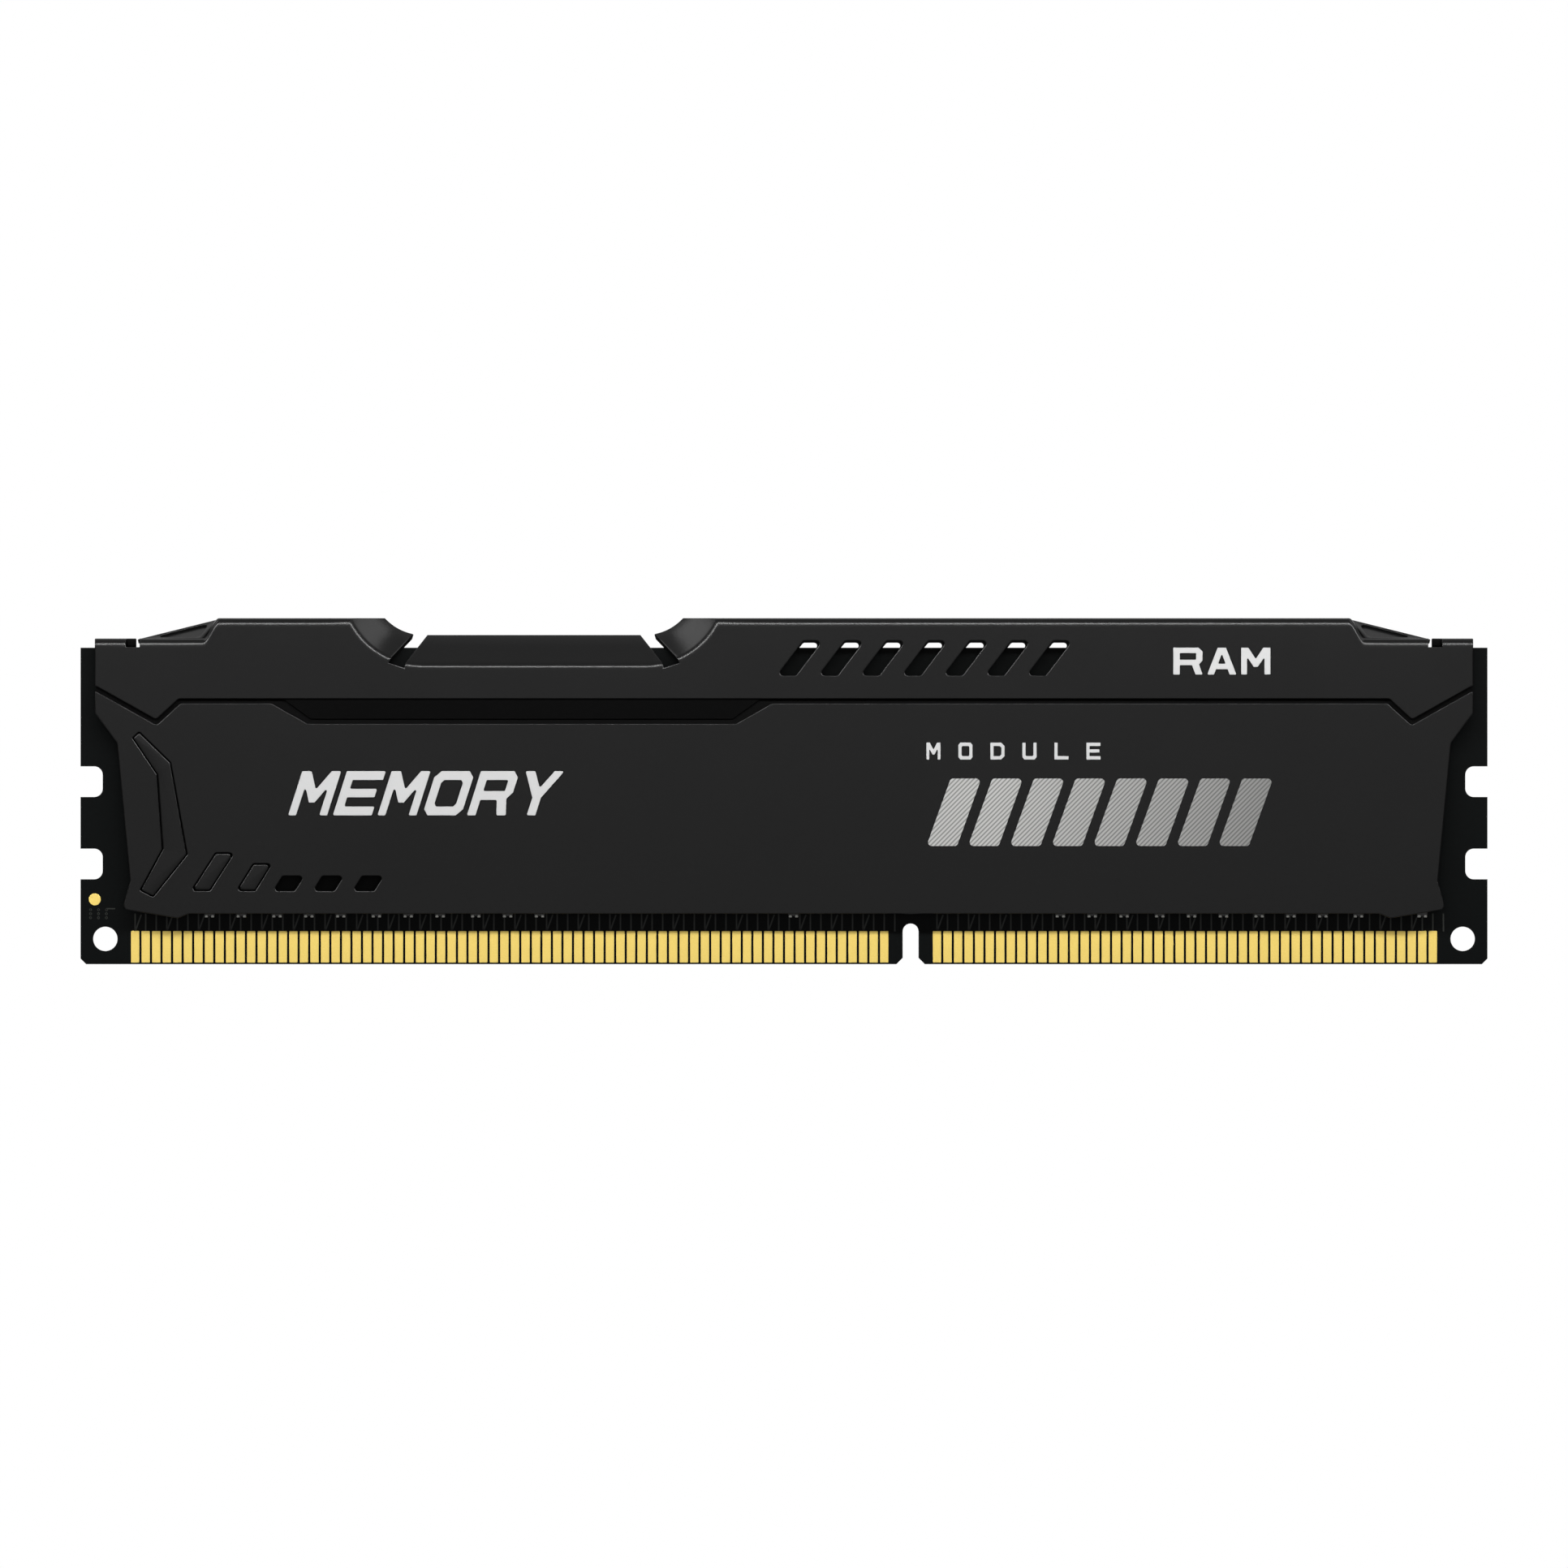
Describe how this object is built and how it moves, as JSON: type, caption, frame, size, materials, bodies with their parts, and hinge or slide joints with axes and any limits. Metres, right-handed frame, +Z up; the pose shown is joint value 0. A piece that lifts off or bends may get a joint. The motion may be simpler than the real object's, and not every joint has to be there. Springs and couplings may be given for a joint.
{
  "type": "memory module",
  "caption": "Desktop memory module: a circuit board with gold edge contacts, a key slot and latch notches, between two stamped black heat spreader halves with a finger dip and slanted vents.",
  "frame": {"origin": "middle of the board's contact edge, on the face that seats on the socket's floor", "axes": "+X along the board with the long contact row at -X on the front, -Y out of the front face, +Z up out of the socket"},
  "size_m": [0.1334, 0.0072, 0.0328],
  "materials": {
    "board_laminate": "black solder mask, satin",
    "coated_aluminium": "black powder coat, fine grain",
    "contact_gold": "gold plating over copper",
    "chip_epoxy": "matt black moulding compound",
    "thermal_silicone": "soft filled silicone",
    "part_ceramic": "glazed",
    "label_film": "matt film"
  },
  "bodies": {
    "root": {"circuit_board": "board_laminate", "front_heat_spreader": "coated_aluminium", "back_heat_spreader": "coated_aluminium", "front_thermal_pad": "thermal_silicone", "back_thermal_pad": "thermal_silicone", "front_contacts_long_row": "contact_gold", "front_contacts_short_row": "contact_gold", "back_contacts_long_row": "contact_gold", "back_contacts_short_row": "contact_gold", "identification_memory_chip": "chip_epoxy", "back_label": "label_film", "front_memory_chip_1": "chip_epoxy", "front_memory_chip_2": "chip_epoxy", "front_memory_chip_3": "chip_epoxy", "front_memory_chip_4": "chip_epoxy", "front_memory_chip_5": "chip_epoxy", "front_memory_chip_6": "chip_epoxy", "front_memory_chip_7": "chip_epoxy", "front_memory_chip_8": "chip_epoxy", "back_memory_chip_1": "chip_epoxy", "back_memory_chip_2": "chip_epoxy", "back_memory_chip_3": "chip_epoxy", "back_memory_chip_4": "chip_epoxy", "back_memory_chip_5": "chip_epoxy", "back_memory_chip_6": "chip_epoxy", "back_memory_chip_7": "chip_epoxy", "back_memory_chip_8": "chip_epoxy", "resistor_array_01": "part_ceramic", "resistor_array_02": "part_ceramic", "resistor_array_03": "part_ceramic", "resistor_array_04": "part_ceramic", "resistor_array_05": "part_ceramic", "resistor_array_06": "part_ceramic", "resistor_array_07": "part_ceramic", "resistor_array_08": "part_ceramic", "resistor_array_09": "part_ceramic", "resistor_array_10": "part_ceramic", "resistor_array_11": "part_ceramic", "resistor_array_12": "part_ceramic", "resistor_array_13": "part_ceramic", "resistor_array_14": "part_ceramic", "resistor_array_15": "part_ceramic", "resistor_array_16": "part_ceramic", "resistor_array_17": "part_ceramic", "resistor_array_18": "part_ceramic", "resistor_array_19": "part_ceramic", "resistor_array_20": "part_ceramic", "resistor_array_21": "part_ceramic", "resistor_array_22": "part_ceramic", "resistor_array_23": "part_ceramic", "decoupling_capacitor_1": "part_ceramic", "decoupling_capacitor_2": "part_ceramic", "decoupling_capacitor_3": "part_ceramic", "decoupling_capacitor_4": "part_ceramic", "decoupling_capacitor_5": "part_ceramic", "decoupling_capacitor_6": "part_ceramic"}
  },
  "joints": []
}
